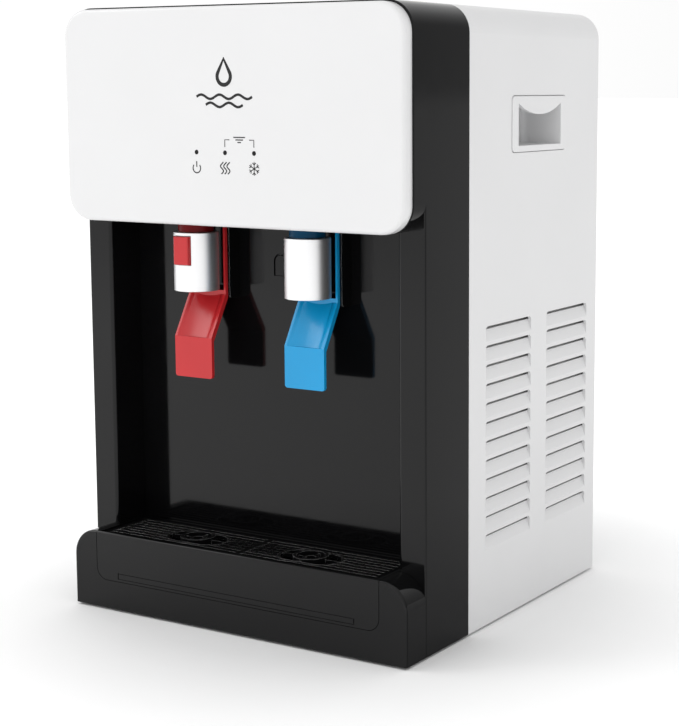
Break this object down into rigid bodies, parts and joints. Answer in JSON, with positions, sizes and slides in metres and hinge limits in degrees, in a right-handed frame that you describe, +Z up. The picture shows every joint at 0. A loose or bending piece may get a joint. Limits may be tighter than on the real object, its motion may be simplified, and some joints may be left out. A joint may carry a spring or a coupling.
{
  "type": "countertop water dispenser",
  "caption": "Countertop hot and cold water dispenser: white rounded cabinet on a black front frame, push levers over a cup niche, slide-out drip tray.",
  "frame": {"origin": "centre of the footprint on the worktop, at the bottom of the feet", "axes": "+X to the right seen from the front, +Y to the back, +Z up"},
  "size_m": [0.3216, 0.312, 0.4826],
  "materials": {
    "black_gloss": "gloss",
    "white_gloss": "gloss",
    "clear_lens": "smoked gloss",
    "lamp_window": "gloss",
    "board_green": "matt",
    "grey_steel": "satin",
    "zinc_steel": "satin",
    "foot_rubber": "matt",
    "hot_red": "gloss",
    "cold_blue": "gloss",
    "satin_silver": "satin",
    "stainless": "brushed",
    "copper_tube": "satin",
    "foam": "matt",
    "compressor_black": "satin paint",
    "condenser_black": "satin",
    "filter_white": "matt",
    "fitting_plastic": "matt",
    "black_plastic": "matt"
  },
  "bodies": {
    "cabinet": {"front_frame": "black_gloss", "niche_panel": "black_gloss", "night_light_lens": "clear_lens", "faucet_cowls": "black_gloss", "base_housing": "black_gloss", "front_panel": "white_gloss", "indicator_lenses": "lamp_window", "indicator_board": "board_green", "rear_housing": "white_gloss", "handle_cup_left": "white_gloss", "handle_cup_right": "white_gloss", "rear_panel": "grey_steel", "rear_panel_screws": "zinc_steel", "base_plate": "grey_steel", "feet": "foot_rubber", "hot_tap_body": "hot_red", "cold_tap_body": "cold_blue", "hot_collar": "satin_silver", "cold_collar": "satin_silver", "lever_brackets": "black_gloss", "lever_pins": "zinc_steel", "lever_springs": "zinc_steel", "cold_tank": "stainless", "evaporator_coil": "copper_tube", "cold_insulation": "foam", "hot_tank": "stainless", "heater_band": "stainless", "hot_insulation": "foam", "compressor": "compressor_black", "compressor_grommets": "foot_rubber", "condenser": "condenser_black", "refrigerant_lines": "copper_tube", "filter_cartridges": "filter_white", "filter_manifold": "fitting_plastic", "solenoid_valve": "fitting_plastic", "water_lines": "fitting_plastic", "power_board": "board_green", "water_inlet": "fitting_plastic", "drain_outlet": "fitting_plastic", "power_inlet": "black_plastic", "switch_housings": "black_plastic"},
    "hot_lever": {"hot_lever": "hot_red"},
    "cold_lever": {"cold_lever": "cold_blue"},
    "child_lock_button": {"child_lock_button": "hot_red"},
    "drip_tray": {"drip_tray": "black_gloss"},
    "drip_grille": {"drip_grille": "black_gloss"},
    "hot_switch": {"hot_switch": "hot_red"},
    "cold_switch": {"cold_switch": "cold_blue"},
    "light_switch": {"light_switch": "black_plastic"},
    "drain_cap": {"drain_cap": "fitting_plastic"}
  },
  "joints": [
    {"name": "hot_lever_hinge", "type": "hinge", "parent": "cabinet", "child": "hot_lever", "pos_m": [-0.0533, -0.1098, 0.325], "axis": [1, 0, 0], "range_deg": [0, 7], "stiffness_Nm_per_rad": 2, "springref_deg": -5.73},
    {"name": "cold_lever_hinge", "type": "hinge", "parent": "cabinet", "child": "cold_lever", "pos_m": [0.0533, -0.1098, 0.325], "axis": [1, 0, 0], "range_deg": [0, 7], "stiffness_Nm_per_rad": 2, "springref_deg": -5.73},
    {"name": "child_lock_press", "type": "slide", "parent": "cabinet", "child": "child_lock_button", "axis": [0, 1, 0], "range_m": [0, 0.003], "stiffness_N_per_m": 300, "springref_m": -0.003},
    {"name": "drip_tray_slide", "type": "slide", "parent": "cabinet", "child": "drip_tray", "axis": [0, -1, 0], "range_m": [0, 0.08]},
    {"name": "drip_grille_lift", "type": "slide", "parent": "drip_tray", "child": "drip_grille", "axis": [0, 0, 1], "range_m": [0, 0.03]},
    {"name": "hot_switch_rock", "type": "hinge", "parent": "cabinet", "child": "hot_switch", "pos_m": [0.112, 0.147, 0.055], "axis": [1, 0, 0], "range_deg": [-14, 0]},
    {"name": "cold_switch_rock", "type": "hinge", "parent": "cabinet", "child": "cold_switch", "pos_m": [0.112, 0.147, 0.08], "axis": [1, 0, 0], "range_deg": [-14, 0]},
    {"name": "light_switch_rock", "type": "hinge", "parent": "cabinet", "child": "light_switch", "pos_m": [0.112, 0.147, 0.105], "axis": [1, 0, 0], "range_deg": [-14, 0]},
    {"name": "drain_cap_pull", "type": "slide", "parent": "cabinet", "child": "drain_cap", "axis": [0, 1, 0], "range_m": [0, 0.02]}
  ]
}
